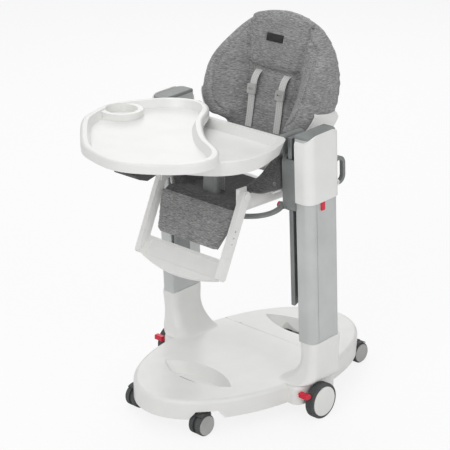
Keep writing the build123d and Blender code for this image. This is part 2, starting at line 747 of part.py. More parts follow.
# ---- backrest -----------------------------------------------------------
def back_outline(grow=0):
    """The rounded backrest seen square on: narrow at the seat, widest at the shoulders."""
    low = back_low_half_width + grow
    step = back_wing_start - grow
    with BuildLine() as edge_line:
        Spline((174 + grow, step + 14), (202 + grow, 170), (back_half_width + grow, 232),
               (205 + grow, 285 + grow * 0.2), (180 + grow * 0.9, 342 + grow * 0.5),
               (130 + grow * 0.6, 393 + grow * 0.8), (66, 418 + grow), (0, back_height + grow))
        Line((174 + grow, step + 14), (160 + grow, step))
        Line((160 + grow, step), (low, step))
        Line((low, step), (low, 18 - grow))
        Line((low, 18 - grow), (0, 18 - grow))
        mirror(about=Plane.YZ)
    make_face(edge_line.edges())


def rim_envelope(rear, drop):
    """The side view that both cushion and shell are cut to: the wings rise as they come down."""
    rim = back_wing_height - drop
    with BuildLine() as edge_line:
        Polyline((-rear, 0), (-back_panel_front + drop, 0), (-back_panel_front + drop, 104),
                 (-rim + 24, 112), (-rim, 130), (-rim, 166), (-rim + 13, 237), (-rim + 48, 304),
                 (-back_panel_front + drop, 336), (-12 + drop, 440), (-rear, 440), close=True)
    make_face(edge_line.edges())


with BuildPart() as back_cushion:
    with BuildSketch(back_plane.offset(back_cushion_rear)):
        back_outline()
    extrude(amount=back_wing_height - back_cushion_rear)
    with BuildSketch(back_side.offset(-300)):
        rim_envelope(back_cushion_rear, 0)
    extrude(amount=600, mode=Mode.INTERSECT)
    with BuildSketch(back_plane.offset(back_panel_front)):
        back_outline(-wing_thickness)
    extrude(amount=back_wing_height, mode=Mode.SUBTRACT)
save(back_cushion, "back_cushion")

with BuildPart() as back_shell:
    with BuildSketch(back_plane.offset(back_shell_rear)):
        back_outline(back_shell_wall + soft_clearance)
    extrude(amount=back_wing_height - back_shell_rear)
    with BuildSketch(back_side.offset(-300)):
        rim_envelope(back_shell_rear, 14)
    extrude(amount=600, mode=Mode.INTERSECT)
    with BuildSketch(back_plane.offset(back_cushion_rear - soft_clearance)):
        back_outline(soft_clearance)
    extrude(amount=back_wing_height + 20, mode=Mode.SUBTRACT)
    barrel_half = pan_half_width - pan_wall - 1.2
    bar_along_x(-barrel_half, barrel_half, recline_y, recline_z, barrel_radius)
    with BuildSketch(back_side.offset(-barrel_half)):
        with Locations((-back_cushion_rear + soft_clearance + 0.2, 16)):
            Rectangle(15, 36, align=(Align.MIN, Align.CENTER))
    extrude(amount=2 * barrel_half)
    bar_along_x(-barrel_half - 1, barrel_half + 1, recline_y, recline_z, recline_pin_radius + running_clearance,
                mode=Mode.SUBTRACT)
    # lugs behind the shell carry the recline lever
    for lug_x in (-52, 46.5):
        with BuildSketch(back_side.offset(lug_x)):
            with Locations((lever_out, 300)):
                Circle(8)
            with Locations((lever_out, 300)):
                Rectangle(lever_out + back_shell_rear + 1, 16, align=(Align.MAX, Align.CENTER))
        extrude(amount=5.5)
    with BuildSketch(back_side.offset(-60)):
        with Locations((lever_out, 300)):
            Circle(3 + running_clearance)
    extrude(amount=120, mode=Mode.SUBTRACT)
save(back_shell, "back_shell")

with BuildPart() as recline_lever:
    with BuildSketch(back_plane.offset(-lever_out - 5)):
        with Locations((0, 288)):
            RectangleRounded(91, 38, 7)
        with Locations((0, 280)):
            SlotOverall(62, 13, mode=Mode.SUBTRACT)
    extrude(amount=9)
    with BuildSketch(back_side.offset(-52)):
        with Locations((lever_out, 300)):
            Circle(3)
    extrude(amount=104)
save(recline_lever, "recline_lever")

strap_path = [(-19.3, 256), (-30, 230), (-36, 216), (-36, 186), (-33, 140), (-30, 96)]
with BuildPart() as harness_strap:
    with BuildSketch(back_side.offset(strap_x - strap_width / 2)):
        with BuildLine():
            Polyline(*strap_path)
        trace(line_width=1.8)
    extrude(amount=strap_width)
save_pair(harness_strap, "harness_strap")

with BuildPart() as strap_adjusters:
    for side in (-1, 1):
        with BuildSketch(back_plane.offset(36.9)):
            with Locations((side * strap_x, 201)):
                RectangleRounded(30, 28, 5)
                RectangleRounded(18, 5, 2, mode=Mode.SUBTRACT)
        extrude(amount=4.5)
save(strap_adjusters, "strap_adjusters")

# ---- legrest and footboard ----------------------------------------------
arm_mid_x = leg_arm_inner_x + leg_arm_thickness / 2
arm_outer_x = leg_arm_inner_x + leg_arm_thickness
with BuildPart() as legrest_arm:
    with BuildSketch(leg_side.offset(leg_arm_inner_x)):
        with Locations((0, 0)):
            Circle(leg_arm_width / 2)
        with Locations((0, -leg_arm_length / 2)):
            Rectangle(leg_arm_width, leg_arm_length)
    extrude(amount=leg_arm_thickness)
    # the tongue runs inside the footboard's sleeve
    with BuildSketch(leg_side.offset(leg_arm_inner_x + sleeve_wall + 0.4)):
        with Locations((0, -leg_arm_length - tongue_length / 2 + 2)):
            Rectangle(leg_arm_width - 2 * sleeve_wall - 0.8, tongue_length)
    extrude(amount=leg_arm_thickness - 2 * sleeve_wall - 0.8)
    # three setting holes on the outer face
    with BuildSketch(leg_side.offset(arm_outer_x)):
        for hole_y in (-95, -112, -129):
            with Locations((-2, hole_y)):
                Circle(3)
    extrude(amount=-4, mode=Mode.SUBTRACT)
    bar_along_x(leg_arm_inner_x - 1, arm_outer_x + 1, leg_pivot_y, leg_pivot_z, leg_pin_radius,
                mode=Mode.SUBTRACT)
save_pair(legrest_arm, "legrest_arm")

with BuildPart() as pivot_knobs:
    for side in (-1, 1):
        pin_ends = sorted((side * (pan_half_width - pan_wall - 3), side * (arm_outer_x + 0.2)))
        bar_along_x(pin_ends[0], pin_ends[1], leg_pivot_y, leg_pivot_z, leg_pin_radius)
        knob_ends = sorted((side * arm_outer_x, side * (arm_outer_x + 5)))
        bar_along_x(knob_ends[0], knob_ends[1], leg_pivot_y, leg_pivot_z, 11)
save(pivot_knobs, "pivot_knobs")

with BuildPart() as calf_plate:
    with BuildSketch(leg_plane.offset(calf_plate_rear)):
        with Locations((0, -leg_arm_length + 6)):
            Rectangle(2 * leg_arm_inner_x, 110, align=(Align.CENTER, Align.MIN))
        with Locations((0, -leg_arm_length - 10)):
            RectangleRounded(2 * leg_arm_inner_x - 9, 60, 8, align=(Align.CENTER, Align.MIN))
        for recess_x in (-38, 38):
            with Locations((recess_x, -leg_arm_length - recess_below_arm)):
                SlotOverall(30, 9, mode=Mode.SUBTRACT)
    extrude(amount=calf_plate_thickness)
save(calf_plate, "calf_plate")

with BuildPart() as calf_pad:
    with BuildSketch(leg_plane.offset(calf_plate_rear + calf_plate_thickness + soft_clearance)) as pad_outline:
        with BuildLine():
            Polyline((-136, -40), (136, -40), (136, -70), (112, -160), (-112, -160), (-136, -70), close=True)
        make_face()
        fillet(pad_outline.vertices().group_by(Axis.Y)[0], 20)
    extrude(amount=calf_pad_thickness)
save(calf_pad, "calf_pad")

with BuildPart() as footboard:
    for side in (-1, 1):
        sleeve_x = side * arm_mid_x - leg_arm_thickness / 2
        with BuildSketch(leg_side.offset(sleeve_x)):
            with Locations((0, -leg_arm_length - 0.4)):
                Rectangle(leg_arm_width, sleeve_length, align=(Align.CENTER, Align.MAX))
            fillet(vertices().sort_by(Axis.Y)[:2], 10)
        extrude(amount=leg_arm_thickness)
        with BuildSketch(leg_side.offset(sleeve_x + sleeve_wall)):
            with Locations((0, -leg_arm_length - 0.4)):
                Rectangle(leg_arm_width - 2 * sleeve_wall, sleeve_length - sleeve_wall,
                          align=(Align.CENTER, Align.MAX))
        extrude(amount=leg_arm_thickness - 2 * sleeve_wall, mode=Mode.SUBTRACT)
    with BuildSketch(tread_plane) as tread:
        with BuildLine():
            Line((-leg_arm_inner_x - 1, tread_length / 2), (leg_arm_inner_x + 1, tread_length / 2))
            Line((leg_arm_inner_x + 1, tread_length / 2), (leg_arm_inner_x + 1, -tread_length / 2 + 12))
            ThreePointArc((leg_arm_inner_x + 1, -tread_length / 2 + 12), (0, -tread_length / 2 - 12),
                          (-leg_arm_inner_x - 1, -tread_length / 2 + 12))
            Line((-leg_arm_inner_x - 1, -tread_length / 2 + 12), (-leg_arm_inner_x - 1, tread_length / 2))
        make_face()
    extrude(amount=tread_thickness)
    with BuildSketch(tread_plane.offset(tread_thickness)):
        with Locations((0, 2)):
            RectangleRounded(2 * leg_arm_inner_x - 30, tread_length - 22, 12)
    extrude(amount=-2, taper=30, mode=Mode.SUBTRACT)
save(footboard, "footboard")

# ---- trays --------------------------------------------------------------
def lower_outline(inset):
    """A straight edge towards the sitter and one bowed sweep round the front."""
    reach = tray_half_width - inset
    front = tray_front_y + inset
    rear = tray_rear_y - inset
    with BuildLine() as edge_line:
        Line((0, rear), (200 - inset * 0.6, rear))
        Spline((200 - inset * 0.6, rear), (reach - 28, rear - 38), (reach, rear - 124), (reach - 32, -258),
               (reach - 132, -336 + inset), (0, front), tangents=((1, -0.25), (-1, 0)))
        mirror(about=Plane.YZ)
    make_face(edge_line.edges())


with BuildPart() as lower_tray:
    with BuildSketch(Plane.XY.offset(tray_rim)):
        lower_outline(0)
    with BuildSketch(Plane.XY.offset(tray_bottom)):
        lower_outline(12)
    loft()
    with BuildSketch(Plane.XY.offset(tray_rim)):
        lower_outline(14)
    with BuildSketch(Plane.XY.offset(tray_floor)):
        lower_outline(24)
    loft(mode=Mode.SUBTRACT)
    with BuildSketch(Plane.XY.offset(tray_floor - tray_wall)):
        lower_outline(30)
    extrude(amount=tray_bottom - tray_floor - 2, mode=Mode.SUBTRACT)
    for side in (-1, 1):
        ends = sorted((side * tray_arm_x, side * (tray_arm_x + tray_arm_width)))
        block(ends[0], ends[1], tray_rear_y - 12, armrest_rear_y - 4, tray_arm_z, tray_arm_z + tray_arm_height)
save(lower_tray, "lower_tray")

with BuildPart() as crotch_post:
    with BuildSketch(Plane.XY.offset(post_bottom)):
        with Locations((0, post_y)):
            RectangleRounded(post_bottom_width, post_depth, 9)
    with BuildSketch(Plane.XY.offset(tray_floor - tray_wall)):
        with Locations((0, post_y)):
            RectangleRounded(post_top_width, post_depth - 3, 8)
    loft()
    fillet(crotch_post.faces().sort_by(Axis.Z)[0].edges(), 5)
save(crotch_post, "crotch_post")

with BuildPart() as tray_grip:
    with BuildSketch(Plane.YZ):
        with BuildLine():
            Polyline((grip_y + 36, tray_bottom - 2), (grip_y + 22, grip_bottom + 8), (grip_y - 10, grip_bottom),
                     (grip_y - 40, grip_bottom + 10), (grip_y - 46, grip_bottom + 22),
                     (grip_y - 20, tray_bottom - 2), close=True)
        make_face()
    extrude(amount=44, both=True)
    fillet(tray_grip.edges().filter_by(Axis.X), 6)
    block(-20, 20, grip_y + 6, grip_y + 24, tray_bottom - 6, tray_floor - tray_wall - 0.4)
save(tray_grip, "tray_grip")


def upper_outline(inset):
    """A kidney: two round lobes towards the sitter's sides and a hollow for the body between."""
    with BuildLine() as edge_line:
        Spline((0, 120 - inset), (100, 128 - inset), (186, 147 - inset), (252 - inset * 0.7, 128 - inset * 0.7),
               (289 - inset, 62), (284 - inset, -20), (248 - inset, -110 + inset * 0.5),
               (168 - inset * 0.5, -166 + inset * 0.8), (0, -193 + inset), tangents=((1, 0), (-1, 0)))
        mirror(about=Plane.YZ)
    make_face(edge_line.edges())


upper_plane = Plane((upper_tray_x, upper_tray_y, tray_rim + soft_clearance),
                    x_dir=(cos(radians(upper_tray_turn)), sin(radians(upper_tray_turn)), 0), z_dir=(0, 0, 1))
with BuildPart() as upper_tray:
    with BuildSketch(upper_plane):
        upper_outline(0)
    extrude(amount=upper_tray_height)
    fillet(upper_tray.edges().group_by(Axis.Z)[-1], 7)
    with BuildSketch(upper_plane.offset(upper_tray_height)):
        upper_outline(upper_rim_width - 6)
    with BuildSketch(upper_plane.offset(upper_tray_floor)):
        upper_outline(upper_rim_width + 4)
    loft(mode=Mode.SUBTRACT)
    with BuildSketch(upper_plane.offset(upper_tray_floor - 1)):
        with Locations((cup_x, cup_y)):
            Circle(cup_ring_radius)
    extrude(amount=upper_tray_height - upper_tray_floor - 2)
    with BuildSketch(upper_plane.offset(upper_tray_floor - 1)):
        with Locations((cup_x, cup_y)):
            Circle(cup_radius)
    extrude(amount=upper_tray_height + 4, mode=Mode.SUBTRACT)
save(upper_tray, "upper_tray")
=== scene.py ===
# %% [markdown]
# # Dressing a baby high chair
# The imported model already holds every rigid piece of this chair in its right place: the wheeled base,
# the two columns, the carriage that climbs them, the seat, the legrest and the trays.
# This lesson gives those pieces their real finishes, and replaces the plain soft solids with padded
# fabric, webbing and stitches. Everything is in metres, +Z is up and the chair faces -Y.

# %% Load the frame
from math import cos, exp, radians, sin

import bpy
import bmesh
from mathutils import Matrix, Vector
from mathutils.bvhtree import BVHTree
from mathutils.kdtree import KDTree


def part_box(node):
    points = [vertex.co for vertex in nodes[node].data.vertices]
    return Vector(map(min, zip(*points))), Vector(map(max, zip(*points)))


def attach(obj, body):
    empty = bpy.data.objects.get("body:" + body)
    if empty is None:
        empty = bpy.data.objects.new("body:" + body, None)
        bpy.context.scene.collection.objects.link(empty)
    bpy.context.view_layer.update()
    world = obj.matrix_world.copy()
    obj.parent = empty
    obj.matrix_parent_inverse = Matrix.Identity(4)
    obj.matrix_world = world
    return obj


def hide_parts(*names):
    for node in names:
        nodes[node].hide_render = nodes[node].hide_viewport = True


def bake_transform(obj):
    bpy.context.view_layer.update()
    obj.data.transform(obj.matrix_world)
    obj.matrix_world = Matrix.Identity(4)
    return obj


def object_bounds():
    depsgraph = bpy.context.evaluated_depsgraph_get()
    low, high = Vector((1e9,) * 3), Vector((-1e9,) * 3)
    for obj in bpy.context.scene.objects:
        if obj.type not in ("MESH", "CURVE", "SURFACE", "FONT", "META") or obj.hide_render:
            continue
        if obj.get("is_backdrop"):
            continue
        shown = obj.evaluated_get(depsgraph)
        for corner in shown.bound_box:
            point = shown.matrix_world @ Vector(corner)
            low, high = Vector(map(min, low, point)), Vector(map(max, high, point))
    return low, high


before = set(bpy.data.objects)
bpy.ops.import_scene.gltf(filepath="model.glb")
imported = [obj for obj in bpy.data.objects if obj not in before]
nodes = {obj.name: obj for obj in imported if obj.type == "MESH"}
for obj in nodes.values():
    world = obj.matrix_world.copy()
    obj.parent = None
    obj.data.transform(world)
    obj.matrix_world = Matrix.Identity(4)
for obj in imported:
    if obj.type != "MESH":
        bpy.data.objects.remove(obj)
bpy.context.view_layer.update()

scene = bpy.context.scene

# %% [markdown]
# ## Camera, floor and light
# A product like this is shown from a standing adult's eye height with a long lens, so its uprights
# stay nearly parallel. A track target is the simplest way to aim a camera, but turning the view
# direction into a rotation once keeps the scene free of constraints.

# %% Camera
EYE = Vector((3.0436, -3.1806, 2.1374))
LOOK_AT = Vector((0.007, -0.010, 0.504))
camera_data = bpy.data.cameras.new("camera")
camera_data.lens = 140.1
camera_data.sensor_width = 36
camera = bpy.data.objects.new("camera", camera_data)
scene.collection.objects.link(camera)
camera.location = EYE
camera.rotation_euler = (LOOK_AT - EYE).to_track_quat("-Z", "Y").to_euler()
scene.camera = camera
print("camera is", round((LOOK_AT - EYE).length, 2), "m away")

# %% [markdown]
# Materials are built from nodes. Two small helpers do all of it: one turns the hex code that a
# paint chart gives into Blender's linear colour, and one adds a node with its settings and links.

# %% Colour and node helpers
def linear(code):
    """An sRGB hex code such as "#ECECEA" as a linear RGBA colour."""
    parts = [int(code[i:i + 2], 16) / 255 for i in (1, 3, 5)]
    return [c / 12.92 if c <= 0.04045 else ((c + 0.055) / 1.055) ** 2.4 for c in parts] + [1]


def add_node(tree, kind, settings=None, links=None):
    """Adds a node. A setting is a property of the node or the default of one of its inputs."""
    node = tree.nodes.new(kind if "Node" in kind else "ShaderNode" + kind)
    for key, value in (settings or {}).items():
        if isinstance(key, str) and hasattr(node, key):
            setattr(node, key, value)
        else:
            node.inputs[key].default_value = value
    for key, source in (links or {}).items():
        tree.links.new(source, node.inputs[key])
    return node


def colour_ramp(ramp, stops):
    """Sets a colour ramp's stops: pairs of a position and a hex code."""
    elements = ramp.color_ramp.elements
    while len(elements) < len(stops):
        elements.new(0.5)
    for element, (position, code) in zip(elements, stops):
        element.position = position
        element.color = linear(code)


def empty_material(name):
    material = bpy.data.materials.new(name)
    material.use_nodes = True
    material.node_tree.nodes.clear()
    return material, material.node_tree


# %% World, floor and lamps
world = bpy.data.worlds.new("studio")
scene.world = world
world.use_nodes = True
sky = world.node_tree
sky.nodes.clear()
camera_ray = add_node(sky, "LightPath")
plain = add_node(sky, "Background", {"Color": linear("#FFFFFF"), "Strength": 0.5})
backdrop = add_node(sky, "Background", {"Color": linear("#FFFFFF"), "Strength": 1.0})
shown = add_node(sky, "MixShader", {}, {0: camera_ray.outputs["Is Camera Ray"], 1: plain.outputs[0],
                                        2: backdrop.outputs[0]})
add_node(sky, "OutputWorld", {}, {"Surface": shown.outputs[0]})

floor_mesh = bpy.data.meshes.new("floor")
REACH = 9
floor_mesh.from_pydata([(-REACH, -REACH, 0), (REACH, -REACH, 0), (REACH, REACH, 0), (-REACH, REACH, 0)],
                       [], [(0, 1, 2, 3)])
floor = bpy.data.objects.new("floor", floor_mesh)
scene.collection.objects.link(floor)
paper, tree = empty_material("white_studio_paper")
seen = add_node(tree, "LightPath")
matt = add_node(tree, "BsdfDiffuse", {"Color": linear("#F4F4F4")})
glow = add_node(tree, "Emission", {"Color": linear("#FFFFFF"), "Strength": 1.0})
# the paper keeps the chair's shadow, but is lifted towards white where the camera sees it
lift = add_node(tree, "Math", {"operation": "MULTIPLY", 1: 0.85}, {0: seen.outputs["Is Camera Ray"]})
both = add_node(tree, "MixShader", {}, {0: lift.outputs[0], 1: matt.outputs[0], 2: glow.outputs[0]})
add_node(tree, "OutputMaterial", {}, {"Surface": both.outputs[0]})
floor_mesh.materials.append(paper)
floor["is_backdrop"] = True

LAMPS = [
    ("key", (1.2, -3.4, 3.2), 2.4, 50),
    ("fill", (3.6, -0.6, 2.2), 2.6, 27),
    ("top", (-1.6, 0.6, 3.6), 3.0, 32),
    ("back", (-2.4, 3.0, 2.4), 2.6, 21),
]
for name, place, size, power in LAMPS:
    lamp_data = bpy.data.lights.new(name, "AREA")
    lamp_data.shape = "DISK"
    lamp_data.size = size
    lamp_data.energy = power
    lamp = bpy.data.objects.new(name, lamp_data)
    scene.collection.objects.link(lamp)
    lamp.location = place
    lamp.rotation_euler = (Vector((0, 0, 0.5)) - Vector(place)).to_track_quat("-Z", "Y").to_euler()
scene.view_settings.view_transform = "Standard"
print("lamps:", [name for name, *_ in LAMPS])

# %% [markdown]
# ## Hard finishes
# The white shells, trays and base are injection-moulded plastic: a smooth skin with a very fine
# grain, which spreads highlights softly. The columns are aluminium tube with silver-grey paint.
# One function makes each of these: a slow drift of tone over a few centimetres, a fine grain as
# bump, and a roughness that varies a little. The real grain is 0.1 mm, drawn about 1 mm so it shows.

# %% A hard finish
MM = 1000


def hard_finish(name, light, dark, patch=60, grain=1.2, depth=0.02, rough=(0.3, 0.4), metal=0.0, ior=1.46,
                coat=0.0):
    """A moulded or painted surface. patch and grain are sizes in millimetres."""
    material, tree = empty_material(name)
    where = add_node(tree, "TexCoord")
    drift = add_node(tree, "TexNoise", {"Scale": MM / patch, "Detail": 3.0},
                     {"Vector": where.outputs["Object"]})
    tone = add_node(tree, "ValToRGB", {}, {"Fac": drift.outputs["Fac"]})
    colour_ramp(tone, [(0.35, dark), (0.65, light)])
    skin = add_node(tree, "TexNoise", {"Scale": MM / grain, "Detail": 2.0},
                    {"Vector": where.outputs["Object"]})
    sheen = add_node(tree, "MapRange", {"To Min": rough[0], "To Max": rough[1]},
                     {"Value": skin.outputs["Fac"]})
    relief = add_node(tree, "Bump", {"Strength": 0.25, "Distance": depth / MM},
                      {"Height": skin.outputs["Fac"]})
    surface = add_node(tree, "BsdfPrincipled", {"Metallic": metal, "IOR": ior, "Coat Weight": coat},
                       {"Base Color": tone.outputs["Color"], "Roughness": sheen.outputs["Result"],
                        "Normal": relief.outputs["Normal"]})
    add_node(tree, "OutputMaterial", {}, {"Surface": surface.outputs[0]})
    return material


# polypropylene and ABS have an IOR of about 1.49 and 1.54; a moulded skin is satin, not a mirror
white_abs = hard_finish("moulded_white_ABS", "#EDEDEB", "#EAEAE8", rough=(0.28, 0.36), ior=1.54)
silver_paint = hard_finish("silver_painted_aluminium", "#CCCFCE", "#C4C7C6", patch=90, grain=0.9,
                           rough=(0.34, 0.46), metal=0.35, ior=1.5)
rail_alloy = hard_finish("anodised_aluminium_rail", "#8E9191", "#848787", patch=80, grain=0.8,
                         rough=(0.36, 0.5), metal=0.6, ior=1.5)
grey_nylon = hard_finish("moulded_grey_nylon", "#8A8E8D", "#7D8180", grain=1.0, rough=(0.42, 0.55), ior=1.53)
dark_nylon = hard_finish("moulded_charcoal_nylon", "#4A4A4A", "#3C3C3C", grain=1.0,
                         rough=(0.45, 0.6), ior=1.53)
caster_nylon = hard_finish("moulded_pale_grey_nylon", "#B6B6B4", "#A9A9A8", rough=(0.38, 0.5), ior=1.53)
tyre_rubber = hard_finish("tyre_rubber", "#505253", "#444647", patch=30, grain=1.6, depth=0.05,
                          rough=(0.6, 0.78), ior=1.52)
red_abs = hard_finish("moulded_red_ABS", "#E0153A", "#CC1234", rough=(0.28, 0.36), ior=1.54)
bright_steel = hard_finish("bright_steel", "#C9CBCC", "#B5B7B8", patch=20, grain=0.5, rough=(0.22, 0.34),
                           metal=1.0, ior=1.5)
print("hard finishes:", len(bpy.data.materials))

# %% [markdown]
# Each CAD node carries the name of its finish in the record. Its object keeps its mesh, and only
# the material in its slots changes.

# %% Dress the rigid nodes
FINISHES = {
    "white_plastic": white_abs, "column_grey": silver_paint, "rail_grey": rail_alloy,
    "grey_plastic": grey_nylon, "dark_plastic": dark_nylon, "caster_grey": tyre_rubber,
    "tyre_rubber": tyre_rubber, "red_plastic": red_abs, "steel": bright_steel,
}
dressed = 0
for node in nodes.values():
    for place in node.material_slots:
        if place.material.name in FINISHES:
            place.material = FINISHES[place.material.name]
            dressed += 1
nodes["strap_adjusters"].material_slots[0].material = caster_nylon
nodes["pivot_knobs"].material_slots[0].material = white_abs
print("dressed", dressed, "of", len(nodes), "nodes")

# %% [markdown]
# ## Woven finishes
# The covers are a grey melange: light and dark fibres spun together, so the cloth shows short
# horizontal streaks over a fine plain weave. Streaks are a noise that is stretched sideways, and the
# weave is two sets of waves that cross. The threads are about 0.6 mm apart, drawn at 1.6 mm.

# %% Melange cloth
def melange_cloth(name, stretch, light="#B4B4B4", middle="#8F8F8F", dark="#686868", thread=1.6):
    """Heathered cloth. stretch gives the streaks' size in millimetres along X, Y and Z."""
    material, tree = empty_material(name)
    where = add_node(tree, "TexCoord")
    run = add_node(tree, "Mapping", {"Scale": [MM / size for size in stretch]},
                   {"Vector": where.outputs["Object"]})
    slub = add_node(tree, "TexNoise", {"Scale": 1.0, "Detail": 3.0, "Roughness": 0.65},
                    {"Vector": run.outputs["Vector"]})
    streak = add_node(tree, "ValToRGB", {}, {"Fac": slub.outputs["Fac"]})
    colour_ramp(streak, [(0.34, dark), (0.5, middle), (0.68, light)])
    cloud = add_node(tree, "TexNoise", {"Scale": MM / 45, "Detail": 2.0}, {"Vector": where.outputs["Object"]})
    wear = add_node(tree, "MapRange", {"From Min": 0.3, "From Max": 0.7, "To Min": 0.9, "To Max": 1.08},
                    {"Value": cloud.outputs["Fac"]})
    cloth = add_node(tree, "Mix", {"data_type": "RGBA", "blend_type": "MULTIPLY", 0: 1.0},
                     {6: streak.outputs["Color"], 7: wear.outputs["Result"]})
    weave = {}
    for axis in ("X", "Y", "Z"):
        weave[axis] = add_node(tree, "TexWave", {"bands_direction": axis, "Scale": MM / thread / 6.28,
                                                 "Distortion": 0.6, "Detail": 1.0},
                               {"Vector": where.outputs["Object"]})
    flat = add_node(tree, "Math", {"operation": "MAXIMUM"}, {0: weave["X"].outputs["Fac"],
                                                             1: weave["Y"].outputs["Fac"]})
    threads = add_node(tree, "Math", {"operation": "ADD"}, {0: flat.outputs[0], 1: weave["Z"].outputs["Fac"]})
    relief = add_node(tree, "Bump", {"Strength": 0.55, "Distance": 0.35 / MM}, {"Height": threads.outputs[0]})
    surface = add_node(tree, "BsdfPrincipled", {"Roughness": 0.92, "Sheen Weight": 0.25,
                                                "Sheen Roughness": 0.5,
                                                "Specular IOR Level": 0.25},
                       {"Base Color": cloth.outputs[2], "Normal": relief.outputs["Normal"]})
    add_node(tree, "OutputMaterial", {}, {"Surface": surface.outputs[0]})
    return material


cover_cloth = melange_cloth("melange_cover_cloth", (11, 11, 1.3))
seat_cloth = melange_cloth("melange_seat_cloth", (11, 1.4, 1.4), light="#7C7C7C",
                           middle="#5A5A5A", dark="#3C3C3C")
stitch_thread = hard_finish("grey_polyester_thread", "#555555", "#484848", patch=6, grain=0.6, depth=0.05,
                            rough=(0.6, 0.75))
print("melange cloth ready")

# %% [markdown]
# Webbing is woven in narrow loops, so it shows fine ribs across its length and two bound edges.
# The pattern follows the strap round its bends, so it reads the strap's own UV map, in metres.

# %% Webbing
def webbing_finish(name, light, dark, rib=2.0):
    material, tree = empty_material(name)
    where = add_node(tree, "UVMap", {"uv_map": "along"})
    ribs = add_node(tree, "TexWave", {"bands_direction": "X", "Scale": MM / rib / 6.28, "Distortion": 0.3},
                    {"Vector": where.outputs["UV"]})
    cords = add_node(tree, "TexWave", {"bands_direction": "Y", "Scale": MM / (rib * 1.6) / 6.28},
                     {"Vector": where.outputs["UV"]})
    both = add_node(tree, "Math", {"operation": "MULTIPLY"},
                    {0: ribs.outputs["Fac"], 1: cords.outputs["Fac"]})
    tone = add_node(tree, "ValToRGB", {}, {"Fac": both.outputs[0]})
    colour_ramp(tone, [(0.0, dark), (0.5, light)])
    relief = add_node(tree, "Bump", {"Strength": 0.6, "Distance": 0.3 / MM}, {"Height": both.outputs[0]})
    surface = add_node(tree, "BsdfPrincipled", {"Roughness": 0.8, "Sheen Weight": 0.15},
                       {"Base Color": tone.outputs["Color"], "Normal": relief.outputs["Normal"]})
    add_node(tree, "OutputMaterial", {}, {"Surface": surface.outputs[0]})
    return material


pale_webbing = webbing_finish("pale_polyester_webbing", "#D9D9D8", "#BDBDBC")
print("webbing ready")

# %% [markdown]
# ## Padded covers
# The recipe is the same for each pad. First comes a closed shape a little smaller than the pad. It is
# remeshed into even quads, and a cloth simulation blows it up slightly, so its faces crown and its
# sides pull in. The swelling is capped, one subdivision smooths it, and only then are seams pressed in,
# because remeshing would erase them.

# %% Mesh helpers
def new_piece(name, points, faces, *materials):
    """A mesh object at the origin, built from the given points and faces."""
    mesh = bpy.data.meshes.new(name)
    mesh.from_pydata([tuple(p) for p in points], [], faces)
    for material in materials:
        mesh.materials.append(material)
    piece = bpy.data.objects.new(name, mesh)
    scene.collection.objects.link(piece)
    return piece


def tidy(piece, merge=1e-5):
    """Merges doubles and turns the faces outwards."""
    work = bmesh.new()
    work.from_mesh(piece.data)
    bmesh.ops.remove_doubles(work, verts=work.verts, dist=merge)
    bmesh.ops.recalc_face_normals(work, faces=work.faces)
    work.to_mesh(piece.data)
    work.free()
    piece.data.shade_smooth()


def freeze(piece):
    """Turns a piece's modifiers into plain mesh."""
    shaped = piece.evaluated_get(bpy.context.evaluated_depsgraph_get())
    mesh = bpy.data.meshes.new_from_object(shaped)
    piece.modifiers.clear()
    piece.data = mesh
    return piece


def puff(piece, voxel=0.006, pressure=4.0, cap=0.006, smooth=6, levels=1):
    """Remeshes a closed piece, blows it up a little and smooths it."""
    remesh = piece.modifiers.new("even quads", "REMESH")
    remesh.mode = "VOXEL"
    remesh.voxel_size = voxel
    freeze(piece)
    start = [v.co.copy() for v in piece.data.vertices]
    cloth = piece.modifiers.new("stuffing", "CLOTH")
    cloth.settings.use_pressure = True
    cloth.settings.uniform_pressure_force = pressure
    cloth.settings.effector_weights.gravity = 0
    cloth.settings.quality = 4
    cloth.collision_settings.use_collision = False
    for frame_number in range(1, 21):
        scene.frame_set(frame_number)
    shaped = piece.evaluated_get(bpy.context.evaluated_depsgraph_get())
    blown = [v.co.copy() for v in shaped.data.vertices]
    piece.modifiers.clear()
    scene.frame_set(1)
    for vertex, old, new in zip(piece.data.vertices, start, blown):
        move = new - old
        if move.length > cap:
            move *= cap / move.length
        vertex.co = old + move
    if smooth:
        relax = piece.modifiers.new("relax", "SMOOTH")
        relax.factor = 0.5
        relax.iterations = smooth
    if levels:
        fine = piece.modifiers.new("fine", "SUBSURF")
        fine.levels = fine.render_levels = levels
    freeze(piece)
    piece.data.shade_smooth()
    print(piece.name, "has", len(piece.data.polygons), "faces")
    return piece


def dense(points, step=0.003):
    """The points of a polyline, filled in at an even step."""
    out = []
    for a, b in zip(points, points[1:]):
        a, b = Vector(a), Vector(b)
        count = max(1, int((b - a).length / step))
        out += [a.lerp(b, i / count) for i in range(count)]
    return out + [Vector(points[-1])]


def rounded(points, passes=3):
    """Chaikin's corner cutting: a smooth line through the middle of a rough one."""
    points = [Vector(p) for p in points]
    for _ in range(passes):
        cut = [points[0]]
        for a, b in zip(points, points[1:]):
            cut += [a.lerp(b, 0.25), a.lerp(b, 0.75)]
        points = cut + [points[-1]]
    return points


def drop_on(piece, points, direction):
    """Where rays from the points, along a direction, first meet the piece."""
    tree = BVHTree.FromObject(piece, bpy.context.evaluated_depsgraph_get())
    found = []
    for point in points:
        hit, normal, _, _ = tree.ray_cast(Vector(point), direction)
        if hit:
            found.append((hit, normal))
    return found


def press_seam(piece, line, depth, width):
    """Pulls the surface in along a line of points, as a sewn seam does."""
    tree = KDTree(len(line))
    for i, point in enumerate(line):
        tree.insert(point, i)
    tree.balance()
    mesh = piece.data
    for vertex in mesh.vertices:
        _, _, far = tree.find(vertex.co)
        if far < 3 * width:
            vertex.co -= vertex.normal * depth * exp(-(far / width) ** 2)
    mesh.update()

